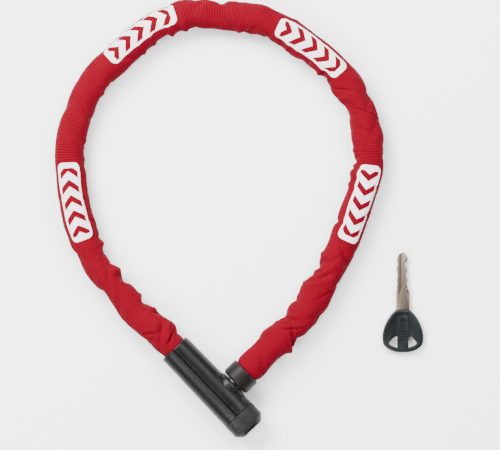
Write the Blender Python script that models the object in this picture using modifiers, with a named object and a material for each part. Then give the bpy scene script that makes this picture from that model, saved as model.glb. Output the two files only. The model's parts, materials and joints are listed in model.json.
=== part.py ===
"""Chain lock: a steel chain in a textile sleeve, closed by a plastic-covered cylinder lock.

The lock lies flat on the floor, z = 0. The lock body has its own frame, an empty at the middle of the
body's mouth: +X runs along the body to the end cap, +Y along the bolt and +Z up. Units are metres.
"""

import math

import bmesh
import bpy
from mathutils import Matrix, Vector

MM = 0.001

# Placement: the middle of the chain's loop and the lock body's frame, from the loop's middle.
LOOP_CENTRE = Vector((-15.33, 44.14, 0.0)) * MM
MOUTH_CENTRE = Vector((-37.0, -149.6, 13.0)) * MM
BODY_ANGLE = math.radians(-46.0)
AXIS_HEIGHT = 13.0 * MM
GAP = 0.3 * MM

# Lock body
BODY_HALF_WIDTH = 14.4 * MM
MOUTH_SCALE = 0.93
SECTION_POWER = 2.35
COVER_LENGTH = 74.1 * MM
CAP_START = 74.4 * MM
CAP_END = 91.0 * MM
CAP_CHAMFER = 4.6 * MM
CAP_WALL = 3.2 * MM
SEAM_OFFSET = -1.0 * MM
CAVITY_RADIUS = 11.9 * MM

# Casing and cylinder
CASING_RADIUS = 11.6 * MM
CASING_BORE = 10.4 * MM
CASING_START = 4.0 * MM
CASING_END = 87.5 * MM
ANCHOR_PIN_X = 10.0 * MM
ANCHOR_PIN_RADIUS = 2.5 * MM
HOUSING_RADIUS = 10.1 * MM
PLUG_RADIUS = 6.5 * MM
PLUG_START = 64.0 * MM
PLUG_END = 87.4 * MM
HOUSING_PIN_X = 70.2 * MM
HOUSING_PIN_RADIUS = 1.5 * MM
WAFER_XS = [x * MM for x in (67.9, 72.5, 77.1, 81.7)]
WAFER_THICKNESS = 0.9 * MM
KEYWAY = Vector((9.2, 2.7)) * MM

# Latch and its drive
PEG_ORBIT = 3.1 * MM
PEG_RADIUS = 1.0 * MM
LATCH_START = 60.9 * MM
LATCH_END = 62.2 * MM
CAM_START = 62.6 * MM
CAM_END = 63.7 * MM
CAM_RADIUS = 5.0 * MM

# Bolt, along +Y at BOLT_X
BOLT_X = 53.9 * MM
SOCKET_RADIUS = 6.7 * MM
SEAT_RADIUS = 12.85 * MM
SEAT_FACE = 15.0 * MM
COLLAR_END = 29.2 * MM
RIVET_Y = 26.4 * MM
RIVET_RADIUS = 2.0 * MM

# Chain
LINK_COUNT = 28
WIRE = 5.0 * MM
WIRE_CHAMFER = 0.9 * MM
LINK_INNER_WIDTH = 8.8 * MM
LINK_PLAY = 1.5 * MM
LINK_ROLL = math.radians(45.0)

# Sleeve
SLEEVE_HALF_WIDTH = 12.9 * MM
SLEEVE_HALF_HEIGHT = 10.4 * MM
SLEEVE_WALL = 0.55 * MM
SLEEVE_GAP = 4.4 * MM
SLEEVE_HEIGHT = 10.5 * MM
SLEEVE_RISE = 80.0 * MM
LINKS_PER_SLEEVE = 3
SLEEVE_COUNT = 9

# Key, lying flat beside the loop
KEY_CENTRE = Vector((148.6, -112.2, 0.0)) * MM
KEY_LENGTH = 82.4 * MM
BOW_HEIGHT = 34.8 * MM
BOW_THICKNESS = 6.0 * MM
BLADE_THICKNESS = 2.4 * MM
SHANK_HALF_WIDTH = 5.4 * MM

# The chain's route from the mouth, round the loop and back to the collar, in mm from the loop's middle.
ROUTE = [
    (-46.9, -139.3),
    (-61, -126.5),
    (-76.5, -110.5),
    (-92, -92.5),
    (-104.5, -73.5),
    (-112.5, -52.5),
    (-118, -31.5),
    (-121, -10.5),
    (-122, 10.5),
    (-118, 31.5),
    (-110.5, 51.5),
    (-99.5, 69.5),
    (-84.5, 84.5),
    (-69, 98.5),
    (-52, 109.5),
    (-32, 117.5),
    (-10.5, 121),
    (10.5, 120),
    (31.5, 116),
    (51, 108),
    (68.5, 98),
    (84.5, 84.5),
    (99.5, 69.5),
    (110.5, 51.5),
    (117.5, 31.5),
    (120.5, 10.5),
    (118.5, -10.5),
    (113, -30.5),
    (106.5, -49.5),
    (98, -69),
    (88, -89),
    (75.5, -110),
    (59, -131.5),
    (37.5, -152.6),
]


# ---- scene and materials


def clear_scene():
    for obj in list(bpy.data.objects):
        bpy.data.objects.remove(obj)


def make_collection(name):
    collection = bpy.data.collections.new(name)
    bpy.context.scene.collection.children.link(collection)
    return collection


def material(name, color, roughness, metallic=0.0):
    found = bpy.data.materials.new(name)
    found.use_nodes = True
    shader = found.node_tree.nodes["Principled BSDF"]
    shader.inputs["Base Color"].default_value = (*color, 1.0)
    shader.inputs["Roughness"].default_value = roughness
    shader.inputs["Metallic"].default_value = metallic
    found.diffuse_color = (*color, 1.0)
    return found


# ---- meshes


def mesh_of(obj):
    """The evaluated mesh of a curve or of an object with modifiers, with its loose caps welded."""
    bpy.context.view_layer.update()
    graph = bpy.context.evaluated_depsgraph_get()
    mesh = bpy.data.meshes.new_from_object(obj.evaluated_get(graph))
    work = bmesh.new()
    work.from_mesh(mesh)
    bmesh.ops.remove_doubles(work, verts=work.verts, dist=0.001 * MM)
    bmesh.ops.recalc_face_normals(work, faces=work.faces)
    work.to_mesh(mesh)
    work.free()
    bpy.data.objects.remove(obj)
    return mesh


def poly_curve(name, splines, flat=False):
    """A curve object of closed outlines when flat, or of one open path."""
    curve = bpy.data.curves.new(name, "CURVE")
    curve.dimensions = "2D" if flat else "3D"
    for points, cyclic in splines:
        spline = curve.splines.new("POLY")
        spline.points.add(len(points) - 1)
        for target, point in zip(spline.points, points):
            target.co = (point[0], point[1], point[2] if len(point) > 2 else 0.0, 1.0)
        spline.use_cyclic_u = cyclic
    obj = bpy.data.objects.new(name, curve)
    bpy.context.scene.collection.objects.link(obj)
    return obj


def sweep(name, path, profile, radii=None, cyclic=False, caps=True):
    """A mesh of one closed profile carried along a path, the profile's Y staying up."""
    section = poly_curve(name + "_section", [(profile, True)], flat=True)
    obj = poly_curve(name, [(path, cyclic)])
    obj.data.bevel_mode = "OBJECT"
    obj.data.bevel_object = section
    obj.data.twist_mode = "Z_UP"
    obj.data.use_fill_caps = caps
    for point, radius in zip(obj.data.splines[0].points, radii or []):
        point.radius = radius
    mesh = mesh_of(obj)
    bpy.data.objects.remove(section)
    return mesh


def plate(name, outlines, thickness):
    """A mesh of a flat outline, with any holes, centred on its thickness."""
    obj = poly_curve(name, [(outline, True) for outline in outlines], flat=True)
    obj.data.fill_mode = "BOTH"
    obj.data.extrude = thickness / 2
    return mesh_of(obj)


def turned(name, profile, steps=32):
    """A mesh turned about Z from (radius, height) points that run down the outer side."""
    mesh = bpy.data.meshes.new(name)
    edges = [(i, (i + 1) % len(profile)) for i in range(len(profile))]
    if profile[0][0] == 0 and profile[-1][0] == 0:
        edges.pop()
    mesh.from_pydata([(radius, 0, height) for radius, height in profile], edges, [])
    obj = bpy.data.objects.new(name, mesh)
    bpy.context.scene.collection.objects.link(obj)
    screw = obj.modifiers.new("Turn", "SCREW")
    screw.steps = steps
    screw.render_steps = steps
    screw.use_merge_vertices = True
    screw.merge_threshold = 0.00001
    return mesh_of(obj)


def box(name, low, high):
    """A mesh of a box between two corners given in mm."""
    mesh = bpy.data.meshes.new(name)
    work = bmesh.new()
    bmesh.ops.create_cube(work, size=1.0)
    size = [(b - a) * MM for a, b in zip(low, high)]
    middle = [(a + b) / 2 * MM for a, b in zip(low, high)]
    bmesh.ops.scale(work, vec=size, verts=work.verts)
    bmesh.ops.translate(work, vec=middle, verts=work.verts)
    work.to_mesh(mesh)
    work.free()
    return mesh


def rod(name, start, end, radius, sides=24):
    """A mesh of a cylinder between two points."""
    start = Vector(start)
    end = Vector(end)
    mesh = bpy.data.meshes.new(name)
    work = bmesh.new()
    turn = (end - start).to_track_quat("Z", "Y").to_matrix().to_4x4()
    place = Matrix.Translation((start + end) / 2) @ turn
    bmesh.ops.create_cone(
        work, cap_ends=True, segments=sides, radius1=radius, radius2=radius, depth=(end - start).length, matrix=place
    )
    work.to_mesh(mesh)
    work.free()
    return mesh


def superellipse(half_width, half_height, power, count):
    points = []
    for i in range(count):
        angle = 2 * math.pi * (i + 0.5) / count
        x = math.copysign(abs(math.cos(angle)) ** (2 / power), math.cos(angle))
        y = math.copysign(abs(math.sin(angle)) ** (2 / power), math.sin(angle))
        points.append((half_width * x, half_height * y))
    return points


# ---- objects


class Maker:
    """Places finished parts and cutters in their collections, in the lock body's frame or the world's."""

    def __init__(self):
        self.parts = make_collection("chain_lock")
        self.cutters = make_collection("cutters")
        self.body = bpy.data.objects.new("lock_body_frame", None)
        self.body.location = LOOP_CENTRE + MOUTH_CENTRE
        self.body.rotation_euler = (0, 0, BODY_ANGLE)
        self.parts.objects.link(self.body)
        bpy.context.view_layer.update()

    def part(self, name, mesh, finish, parent=None, matrix=None, smooth=30.0):
        obj = bpy.data.objects.new(name, mesh)
        self.parts.objects.link(obj)
        obj.parent = parent
        if matrix is not None:
            obj.matrix_local = matrix
        if not mesh.materials:
            mesh.materials.append(finish)
            mesh.shade_smooth()
            mesh.set_sharp_from_angle(angle=math.radians(smooth))
        return obj

    def helper(self, mesh, parent=None, matrix=None):
        obj = bpy.data.objects.new(mesh.name + "_cutter", mesh)
        self.cutters.objects.link(obj)
        obj.parent = parent
        if matrix is not None:
            obj.matrix_local = matrix
        obj.hide_render = True
        obj.display_type = "WIRE"
        return obj

    def boolean(self, target, mesh, operation="DIFFERENCE", parent=None, matrix=None):
        cutter = self.helper(mesh, parent, matrix)
        step = target.modifiers.new(operation.title(), "BOOLEAN")
        step.operation = operation
        step.object = cutter
        return cutter


ALONG_Y = Matrix.Rotation(math.radians(-90.0), 4, "X")
ALONG_X = Matrix.Rotation(math.radians(90.0), 4, "Y")


# ---- lock body


def body_section():
    return superellipse(BODY_HALF_WIDTH, BODY_HALF_WIDTH, SECTION_POWER, 36)


def make_cover(maker, name, side, finish):
    """One half of the cover; side is +1 for the half with the bolt's seat."""
    path = [(0, 0, 0), (1.0 * MM, 0, 0), (COVER_LENGTH, 0, 0)]
    radii = [MOUTH_SCALE - 0.04, MOUTH_SCALE, 1.0]
    cover = maker.part(name, sweep(name, path, body_section(), radii), finish, maker.body)
    if side > 0:
        seat = rod("seat", (BOLT_X, 8 * MM, 0), (BOLT_X, SEAT_FACE, 0), SEAT_RADIUS, 40)
        maker.boolean(cover, seat, "UNION", maker.body)
    cavity = rod("cover_cavity", (-2 * MM, 0, 0), (COVER_LENGTH + 2 * MM, 0, 0), CAVITY_RADIUS, 40)
    maker.boolean(cover, cavity, parent=maker.body)
    seam = SEAM_OFFSET / MM
    half = (seam + 0.15 - 40, seam + 0.15) if side > 0 else (seam - 0.15, seam - 0.15 + 40)
    maker.boolean(cover, box("seam_side", (-5, half[0], -30), (80, half[1], 30)), parent=maker.body)
    maker.boolean(cover, box("floor_flat", (-6, -30, -30), (81, 30, -AXIS_HEIGHT / MM)), parent=maker.body)
    groove = box("seam_groove", (-7, -0.62, -0.62), (82, 0.62, 0.62))
    turn = Matrix.Translation((0, SEAM_OFFSET, BODY_HALF_WIDTH * 0.985)) @ Matrix.Rotation(math.radians(45), 4, "X")
    slope = Matrix.Rotation(math.atan2(BODY_HALF_WIDTH * (1 - MOUTH_SCALE), COVER_LENGTH), 4, "Y").inverted()
    start = Matrix.Translation((0, 0, -BODY_HALF_WIDTH * (1 - MOUTH_SCALE)))
    maker.boolean(cover, groove, parent=maker.body, matrix=start @ slope @ turn)
    if side > 0:
        bore = rod("socket", (BOLT_X, 4 * MM, 0), (BOLT_X, 22 * MM, 0), SOCKET_RADIUS, 32)
        maker.boolean(cover, bore, parent=maker.body)
    return cover


def make_end_cap(maker, finish):
    path = [(CAP_START, 0, 0), (CAP_END - CAP_CHAMFER, 0, 0), (CAP_END, 0, 0)]
    radii = [1.0, 1.0, 1 - CAP_CHAMFER / BODY_HALF_WIDTH]
    cap = maker.part("end_cap", sweep("end_cap", path, body_section(), radii), finish, maker.body)
    inner = CAP_END - CAP_WALL
    cavity = rod("cap_cavity", (CAP_START - 2 * MM, 0, 0), (inner, 0, 0), CAVITY_RADIUS, 40)
    maker.boolean(cap, cavity, parent=maker.body)
    maker.boolean(cap, box("cap_flat", (70, -30, -30), (95, 30, -AXIS_HEIGHT / MM)), parent=maker.body)
    maker.boolean(cap, box("keyhole", (86, -5.2, -1.8), (93, 5.2, 1.8)), parent=maker.body)
    maker.boolean(cap, box("shutter_slot", (88.5, -6.3, -5.0), (90.1, 6.3, 25)), parent=maker.body)
    maker.boolean(cap, box("shutter_window", (89.8, -4.7, -5.0), (93.4, 4.7, 26)), parent=maker.body)
    return cap


def make_keyway_cover(maker, finish):
    name = "keyway_cover"
    cover = maker.part(name, box(name, (88.8, -6.0, -4.7), (89.8, 6.0, 9.3)), finish, maker.body)
    pad = box("cover_pad", (89.3, -4.4, -4.7), (90.7, 4.4, 9.3))
    maker.boolean(cover, pad, "UNION", maker.body)
    notch = rod("finger_notch", (91.2 * MM, -3.2 * MM, 5.6 * MM), (91.2 * MM, 3.2 * MM, 5.6 * MM), 1.3 * MM, 16)
    maker.boolean(cover, notch, parent=maker.body)
    return cover


def make_casing(maker, finish):
    profile = [(CASING_RADIUS, CASING_END), (CASING_RADIUS, CASING_START)]
    profile += [(CASING_BORE, CASING_START), (CASING_BORE, CASING_END)]
    casing = maker.part("casing", turned("casing", profile, 40), finish, maker.body, ALONG_X)
    bore = rod("casing_socket", (BOLT_X, 4 * MM, 0), (BOLT_X, 22 * MM, 0), SOCKET_RADIUS, 32)
    maker.boolean(casing, bore, parent=maker.body)
    reach = link_normal(1) * 14 * MM
    middle = Vector((ANCHOR_PIN_X, 0, 0))
    hole = rod("anchor_hole", middle - reach, middle + reach, ANCHOR_PIN_RADIUS + 0.2 * MM, 20)
    maker.boolean(casing, hole, parent=maker.body)
    maker.boolean(casing, housing_pin_hole("casing_pin_hole"), parent=maker.body)
    return casing


def housing_pin_hole(name):
    start = (HOUSING_PIN_X, 0, -14 * MM)
    return rod(name, start, (HOUSING_PIN_X, 0, -7.6 * MM), HOUSING_PIN_RADIUS + 0.2 * MM, 16)


def link_normal(index):
    """The direction square to the flat side of a link that leaves the body along -X, in the body frame."""
    roll = link_roll(index)
    return Vector((0, math.sin(roll), math.cos(roll)))


def make_pins(maker, finish):
    reach = link_normal(1) * 11.4 * MM
    middle = Vector((ANCHOR_PIN_X, 0, 0))
    maker.part("anchor_pin", rod("anchor_pin", middle - reach, middle + reach, ANCHOR_PIN_RADIUS), finish, maker.body)
    low = (HOUSING_PIN_X, 0, -11.5 * MM)
    high = (HOUSING_PIN_X, 0, -7.9 * MM)
    maker.part("housing_pin", rod("housing_pin", low, high, HOUSING_PIN_RADIUS, 16), finish, maker.body)


def make_cylinder(maker, brass, housing_finish):
    """The fixed housing and, on the plug's own axis, the plug with its keyway and wafer slots."""
    bore = PLUG_RADIUS + GAP
    profile = [(HOUSING_RADIUS, PLUG_END), (HOUSING_RADIUS, PLUG_START), (bore, PLUG_START), (bore, PLUG_END)]
    housing = maker.part("cylinder_housing", turned("housing", profile, 32), housing_finish, maker.body, ALONG_X)
    maker.boolean(housing, housing_pin_hole("housing_pin_hole"), parent=maker.body)
    plug_mesh = rod("plug", (PLUG_START, 0, 0), (PLUG_END, 0, 0), PLUG_RADIUS, 32)
    plug = maker.part("cylinder_plug", plug_mesh, brass, maker.body)
    half_width = KEYWAY.x / 2 / MM
    half_height = KEYWAY.y / 2 / MM
    keyway = box("keyway", (62, -half_width, -half_height), (89, half_width, half_height))
    maker.boolean(plug, keyway, parent=maker.body)
    for i, x in enumerate(WAFER_XS):
        low = x / MM - 0.6
        slot = box(f"wafer_slot_{i + 1}", (low, -8, -3.5), (low + 1.2, 8, 3.5))
        maker.boolean(plug, slot, parent=maker.body)


def make_wafers(maker, finish):
    outer = [(-5.5, -3.2), (5.5, -3.2), (5.5, 3.2), (-5.5, 3.2)]
    window = [(-4.7, -1.6), (4.7, -1.6), (4.7, 1.6), (-4.7, 1.6)]
    outlines = [[(x * MM, y * MM) for x, y in outline] for outline in (outer, window)]
    across = Matrix(((0, 0, 1, 0), (1, 0, 0, 0), (0, 1, 0, 0), (0, 0, 0, 1)))
    mesh = plate("wafer", outlines, WAFER_THICKNESS)
    for i, x in enumerate(WAFER_XS):
        maker.part(f"wafer_{i + 1}", mesh, finish, maker.body, Matrix.Translation((x, 0, 0)) @ across)


def make_cam(maker, finish):
    """A disc on the plug's inner end with an eccentric peg that lifts the latch."""
    disc = rod("cam", (CAM_START, 0, 0), (CAM_END, 0, 0), CAM_RADIUS, 28)
    cam = maker.part("cam", disc, finish, maker.body)
    y = PEG_ORBIT * math.cos(math.radians(-45))
    z = PEG_ORBIT * math.sin(math.radians(-45))
    peg = rod("peg", (LATCH_START, y, z), (CAM_START + 0.5 * MM, y, z), PEG_RADIUS, 16)
    maker.boolean(cam, peg, "UNION", maker.body)


def make_latch(maker, steel, spring_steel):
    outline = [(-4.0, -5.0), (5.4, -5.0), (5.4, 0.4), (3.8, 0.6), (3.8, 4.2), (3.0, 5.0), (-3.0, 5.0), (-4.0, 4.2)]
    peg_z = -PEG_ORBIT / MM * math.sin(math.radians(45))
    slot = [(0.8, peg_z - 1.35), (4.5, peg_z - 1.35), (4.5, peg_z + 1.35), (0.8, peg_z + 1.35)]
    outlines = [[(x * MM, y * MM) for x, y in points] for points in (outline, slot)]
    across = Matrix(((0, 0, 1, 0), (1, 0, 0, 0), (0, 1, 0, 0), (0, 0, 0, 1)))
    place = Matrix.Translation(((LATCH_START + LATCH_END) / 2, 0, 0)) @ across
    mesh = plate("latch", outlines, LATCH_END - LATCH_START)
    latch = maker.part("latch", mesh, steel, maker.body, place)
    maker.boolean(latch, box("tooth", (60.4, -1.3, 1.2), (61.5, 1.3, 4.6)), "UNION", maker.body)
    spring = poly_curve("spring_path", [(coil_points(1.5, -10.0, -5.6, 5, 8), False)])
    spring.data.bevel_depth = 0.25 * MM
    spring.data.bevel_resolution = 2
    spring.data.use_fill_caps = True
    middle = Matrix.Translation(((LATCH_START + LATCH_END) / 2, 0, 0))
    maker.part("latch_spring", mesh_of(spring), spring_steel, maker.body, middle)


def coil_points(radius, low, high, turns, per_turn):
    points = []
    for i in range(turns * per_turn + 1):
        angle = 2 * math.pi * i / per_turn
        height = low + (high - low) * i / (turns * per_turn)
        points.append((radius * math.cos(angle) * MM, radius * math.sin(angle) * MM, height * MM))
    return points


# ---- bolt and collar


def make_bolt(maker, steel, rivet_finish, collar_finish):
    """The bolt points into the body along -Y; its fork takes the last link."""
    place = Matrix.Translation((BOLT_X, 0, 0)) @ ALONG_Y
    profile = [(0, 29.0), (7.2, 29.0), (8.0, 28.2), (8.0, 17.7), (6.0, 17.7), (6.0, 2.0), (4.4, 0.6)]
    profile += [(4.4, -2.2), (6.0, -3.6), (6.0, -6.2), (4.6, -8.5), (0, -8.5)]
    mesh = turned("bolt", [(r * MM, h * MM) for r, h in profile], 28)
    bolt = maker.part("bolt", mesh, steel, maker.body, place)
    roll = Matrix.Rotation(-link_roll(LINK_COUNT), 4, "Y")
    at_bolt = Matrix.Translation((BOLT_X, 0, 0)) @ roll
    slot = box("fork_slot", (-12, 17.3, -3.2), (12, 32, 3.2))
    maker.boolean(bolt, slot, parent=maker.body, matrix=at_bolt)
    hole = rod("rivet_hole", (0, RIVET_Y, -12 * MM), (0, RIVET_Y, 12 * MM), RIVET_RADIUS + 0.15 * MM, 16)
    maker.boolean(bolt, hole, parent=maker.body, matrix=at_bolt)
    rivet = rod("bolt_rivet", (0, RIVET_Y, -7.3 * MM), (0, RIVET_Y, 7.3 * MM), RIVET_RADIUS, 16)
    maker.part("bolt_rivet", rivet, rivet_finish, maker.body, at_bolt)
    collar = [(10.4, 29.2), (12.2, 29.2), (12.8, 28.6), (12.8, 16.7), (12.0, 15.9), (6.3, 15.9), (6.3, 17.0)]
    collar += [(10.4, 17.0)]
    mesh = turned("collar", [(r * MM, h * MM) for r, h in collar], 40)
    maker.part("collar", mesh, collar_finish, maker.body, place)


# ---- chain


def body_point(x, y):
    """A point on the body's mid plane, from the body frame into the world."""
    turn = Matrix.Rotation(BODY_ANGLE, 3, "Z")
    return LOOP_CENTRE + MOUTH_CENTRE + turn @ Vector((x, y, 0))


def anchor_joint():
    return body_point(ANCHOR_PIN_X + ANCHOR_PIN_RADIUS + LINK_PLAY / 2, 0)


def rivet_joint():
    return body_point(BOLT_X, RIVET_Y - RIVET_RADIUS - LINK_PLAY / 2)


def catmull_rom(points, steps):
    """A smooth curve through the points, with the given number of steps between neighbours."""
    padded = [2 * points[0] - points[1], *points, 2 * points[-1] - points[-2]]
    curve = []
    for a, b, c, d in zip(padded, padded[1:], padded[2:], padded[3:]):
        for i in range(steps):
            t = i / steps
            middle = (c - a) * t + (2 * a - 5 * b + 4 * c - d) * t * t + (3 * b - a - 3 * c + d) * t**3
            curve.append(b + middle / 2)
    curve.append(points[-1].copy())
    return curve


def smoothstep(value):
    value = min(max(value, 0.0), 1.0)
    return value * value * (3 - 2 * value)


def chain_curve():
    """The chain's centre line: level with the body at both ends, lower where it lies on the floor."""
    points = [Vector((x, y, 0)) * MM + LOOP_CENTRE for x, y in ROUTE]
    ends = [anchor_joint(), rivet_joint()]
    flat = [Vector((p.x, p.y, 0)) for p in (ends[0], *points, ends[1])]
    curve = catmull_rom(flat, 12)
    walked = [0.0]
    for a, b in zip(curve, curve[1:]):
        walked.append(walked[-1] + (b - a).length)
    for point, length in zip(curve, walked):
        inner = min(length, walked[-1] - length)
        drop = smoothstep((inner - 25 * MM) / SLEEVE_RISE)
        point.z = AXIS_HEIGHT + (SLEEVE_HEIGHT - AXIS_HEIGHT) * drop
    return curve


def step_along(curve, start, index, length):
    """The next point at a straight distance from start, and where the curve goes on."""
    while index < len(curve) - 1 and (curve[index + 1] - start).length < length:
        index += 1
    if index == len(curve) - 1:
        return None, index
    low, high = 0.0, 1.0
    for _ in range(40):
        t = (low + high) / 2
        point = curve[index].lerp(curve[index + 1], t)
        if (point - start).length < length:
            low = t
        else:
            high = t
    return point, index


def chain_joints():
    """The link contact points, evenly spaced, from the anchor pin to the bolt's rivet."""
    curve = chain_curve()
    low, high = 20 * MM, 34 * MM
    for _ in range(50):
        pitch = (low + high) / 2
        joints = [curve[0]]
        index = 0
        while len(joints) <= LINK_COUNT:
            point, index = step_along(curve, joints[-1], index, pitch)
            if point is None:
                break
            joints.append(point)
        if len(joints) <= LINK_COUNT:
            high = pitch
        else:
            low = pitch
    while len(joints) <= LINK_COUNT:
        joints.append(curve[-1].copy())
    joints[-1] = curve[-1].copy()
    return joints, pitch


def link_roll(index):
    """Neighbouring links stand square to each other, each leaning 45 degrees."""
    return LINK_ROLL if index % 2 else -LINK_ROLL


def link_mesh(pitch):
    """One link in its own frame: +X along it from its first contact point, its flat side facing Z."""
    centre_radius = LINK_INNER_WIDTH / 2 + WIRE / 2
    bow = 5
    near = -LINK_PLAY / 2 + centre_radius - WIRE / 2
    far = pitch + LINK_PLAY / 2 - centre_radius + WIRE / 2
    path = []
    for centre_x, start in ((far, -90), (near, 90)):
        for i in range(bow + 1):
            angle = math.radians(start + 180 * i / bow)
            path.append((centre_x + centre_radius * math.cos(angle), centre_radius * math.sin(angle), 0))
    half = WIRE / 2
    cut = half - WIRE_CHAMFER
    wire = [(half, -cut), (half, cut), (cut, half), (-cut, half), (-half, cut), (-half, -cut), (-cut, -half)]
    wire += [(cut, -half)]
    return sweep("link", path, wire, cyclic=True, caps=False)


def direction_frame(start, end, roll):
    """A frame at start with +X towards end, its Z tipped from upright by roll."""
    along = (end - start).normalized()
    side = Vector((0, 0, 1)).cross(along).normalized()
    up = along.cross(side)
    matrix = Matrix((along, side, up)).transposed().to_4x4()
    return Matrix.Translation(start) @ matrix @ Matrix.Rotation(roll, 4, "X")


def make_chain(maker, finish):
    joints, pitch = chain_joints()
    mesh = link_mesh(pitch)
    for i in range(LINK_COUNT):
        matrix = direction_frame(joints[i], joints[i + 1], link_roll(i + 1))
        maker.part(f"link_{i + 1:02d}", mesh, finish, matrix=matrix)
    return joints


# ---- sleeve


def make_sleeve(maker, joints, finish):
    """Tubes that each cover three links and move with the middle one."""
    curve = chain_curve()
    profile = [(SLEEVE_HALF_WIDTH * math.cos(a), SLEEVE_HALF_HEIGHT * math.sin(a)) for a in ring_angles(12)]
    mouth = body_point(-1.6 * MM, 0)
    collar = body_point(BOLT_X, COLLAR_END + 1.6 * MM)
    for i in range(SLEEVE_COUNT):
        start = mouth if i == 0 else joints[LINKS_PER_SLEEVE * i]
        end = collar if i == SLEEVE_COUNT - 1 else joints[LINKS_PER_SLEEVE * (i + 1)]
        path = stretch(curve, start, end, 0 if i == 0 else SLEEVE_GAP / 2, 0 if end is collar else SLEEVE_GAP / 2)
        middle = joints[LINKS_PER_SLEEVE * i + 1]
        path = [point - middle for point in path]
        name = f"sleeve_{i + 1:02d}"
        tube = sweep(name, path, profile, caps=False)
        sleeve = maker.part(name, tube, finish, matrix=Matrix.Translation(middle))
        shell = sleeve.modifiers.new("Wall", "SOLIDIFY")
        shell.thickness = SLEEVE_WALL
        shell.offset = -1.0
        shell.use_even_offset = True


def ring_angles(count):
    return [2 * math.pi * (i + 0.5) / count for i in range(count)]


def stretch(curve, start, end, start_gap, end_gap):
    """Evenly spaced points along the curve between two places, less a gap at each end."""
    walked = [0.0]
    for a, b in zip(curve, curve[1:]):
        walked.append(walked[-1] + (b - a).length)
    near = [min(range(len(curve)), key=lambda i: (curve[i] - place).length) for place in (start, end)]
    low = walked[near[0]] + start_gap
    high = walked[near[1]] - end_gap
    count = 7
    points = []
    for k in range(count):
        target = low + (high - low) * k / (count - 1)
        index = max(i for i in range(len(curve) - 1) if walked[i] <= target)
        share = (target - walked[index]) / (walked[index + 1] - walked[index])
        points.append(curve[index].lerp(curve[index + 1], share))
    return points


# ---- key


def blade_outline():
    """Up the right edge, round the tip and down the left edge, in mm from the bow's middle."""
    right = [(5.4, 12.0), (5.4, 32.0), (4.2, 33.2), (3.5, 35.0), (3.6, 37.0), (2.9, 38.8), (3.6, 41.0), (3.5, 43.4)]
    right += [(2.5, 45.2), (3.4, 48.2), (3.2, 51.4), (1.6, 54.2), (3.5, 57.2), (3.4, 61.0), (-0.2, 64.6)]
    left = [(-0.9, 64.2), (-3.4, 62.2), (-4.9, 57.0), (-4.0, 54.4), (-4.9, 51.4), (-4.4, 45.2), (-4.9, 41.0)]
    left += [(-4.5, 38.6), (-4.9, 36.0), (-4.9, 33.0), (-5.4, 32.0), (-5.4, 12.0)]
    return right + left


def bow_outline():
    """Narrow and flat where the blade enters, widest low down, with a shallow round end."""
    side = [(5.6, 17.3), (9.3, 13.8), (12.8, 8.6), (15.4, 2.6), (16.6, -3.6), (16.4, -9.0), (14.9, -12.2)]
    side += [(10.6, -15.4), (5.4, -17.0), (0.0, -17.4)]
    right = [(p.x, p.y) for p in catmull_rom([Vector((x, y, 0)) for x, y in side], 2)]
    return right[:-1] + [(-x, y) for x, y in reversed(right)]


def window_outline(side):
    """One of the two openings either side of the bow's middle bar."""
    points = [(4.5, -4.2), (7.0, -5.0), (9.5, -7.2), (11.2, -10.3), (8.0, -12.5), (4.5, -13.6)]
    return [(side * x, y) for x, y in points]


def in_metres(points):
    return [(x * MM, y * MM) for x, y in points]


def make_key(maker, nickel, plastic):
    """The bow is moulded round the blade's shank; both are placed from the bow's middle."""
    centre = LOOP_CENTRE + KEY_CENTRE + Vector((0, (BOW_HEIGHT - KEY_LENGTH) / 2, BOW_THICKNESS / 2))
    frame = bpy.data.objects.new("key_frame", None)
    frame.location = centre
    maker.parts.objects.link(frame)
    blade_mesh = plate("key_blade", [in_metres(blade_outline())], BLADE_THICKNESS)
    blade = maker.part("key_blade", blade_mesh, nickel, frame)
    for side in (1, -1):
        low = side * (BLADE_THICKNESS / 2 / MM + 0.5) - 0.9
        groove = box("blade_groove", (-3.0, 30.5, low), (-0.9, 66.0, low + 1.8))
        maker.boolean(blade, groove, parent=frame)
    outlines = [bow_outline(), window_outline(1), window_outline(-1)]
    bow_mesh = plate("key_bow", [in_metres(outline) for outline in outlines], BOW_THICKNESS)
    bow = maker.part("key_bow", bow_mesh, plastic, frame)
    pocket = SHANK_HALF_WIDTH / MM + 0.3
    depth = BLADE_THICKNESS / 2 / MM + 0.3
    maker.boolean(bow, box("blade_pocket", (-pocket, 11.6, -depth), (pocket, 30, depth)), parent=frame)


# ---- everything


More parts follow.
